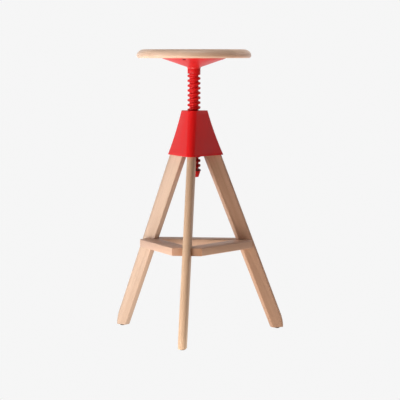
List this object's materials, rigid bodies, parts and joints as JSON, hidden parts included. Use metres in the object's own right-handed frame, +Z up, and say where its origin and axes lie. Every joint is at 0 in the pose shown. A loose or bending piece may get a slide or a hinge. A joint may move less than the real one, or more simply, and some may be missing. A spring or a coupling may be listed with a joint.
{
  "type": "bar stool",
  "caption": "Height-adjustable bar stool: round wooden seat on a coarse screw spindle that runs in a red hub on splayed wooden legs, with a triangular footrest between them.",
  "frame": {"origin": "on the floor, at the centre of the circle of the glides, on the spindle's axis", "axes": "+Z up along the spindle, -Y towards the front leg, +X to the right of someone who faces that leg"},
  "size_m": [0.4562, 0.4117, 0.753],
  "materials": {
    "beech": "clear matt lacquer",
    "red_polyamide": "satin moulding",
    "zinc_steel": "zinc plated",
    "dark_plastic": "matt",
    "grey_acetal": "matt",
    "dark_red_rubber": "matt",
    "black_steel": "blackened"
  },
  "bodies": {
    "base": {"hub_housing": "red_polyamide", "spindle_nut": "grey_acetal", "nut_screws": "zinc_steel", "leg_front": "beech", "leg_right": "beech", "leg_left": "beech", "leg_screws": "zinc_steel", "footrest_rail_right": "beech", "footrest_rail_back": "beech", "footrest_rail_left": "beech", "footrest_dowels": "beech", "glide_front": "dark_plastic", "glide_right": "dark_plastic", "glide_left": "dark_plastic", "glide_nails": "zinc_steel"},
    "lift_stop": {"stop_washer": "dark_red_rubber"},
    "seat_unit": {"seat_disc": "beech", "seat_flange": "red_polyamide", "seat_screws": "black_steel", "flange_bolt": "zinc_steel", "screw_spindle": "red_polyamide", "end_cap": "red_polyamide", "end_cap_screw": "zinc_steel"}
  },
  "joints": [
    {"name": "seat_lift", "type": "slide", "parent": "base", "child": "lift_stop", "axis": [0, 0, 1], "range_m": [-0.1092, 0.0416]},
    {"name": "seat_turn", "type": "hinge", "parent": "lift_stop", "child": "seat_unit", "pos_m": [0, 0, 0.6], "axis": [0, 0, 1], "range_deg": [-3090, 1175]}
  ],
  "couplings": [
    {"joint": "seat_lift", "follows": "seat_turn", "m_per_rad": 0.0020213}
  ]
}
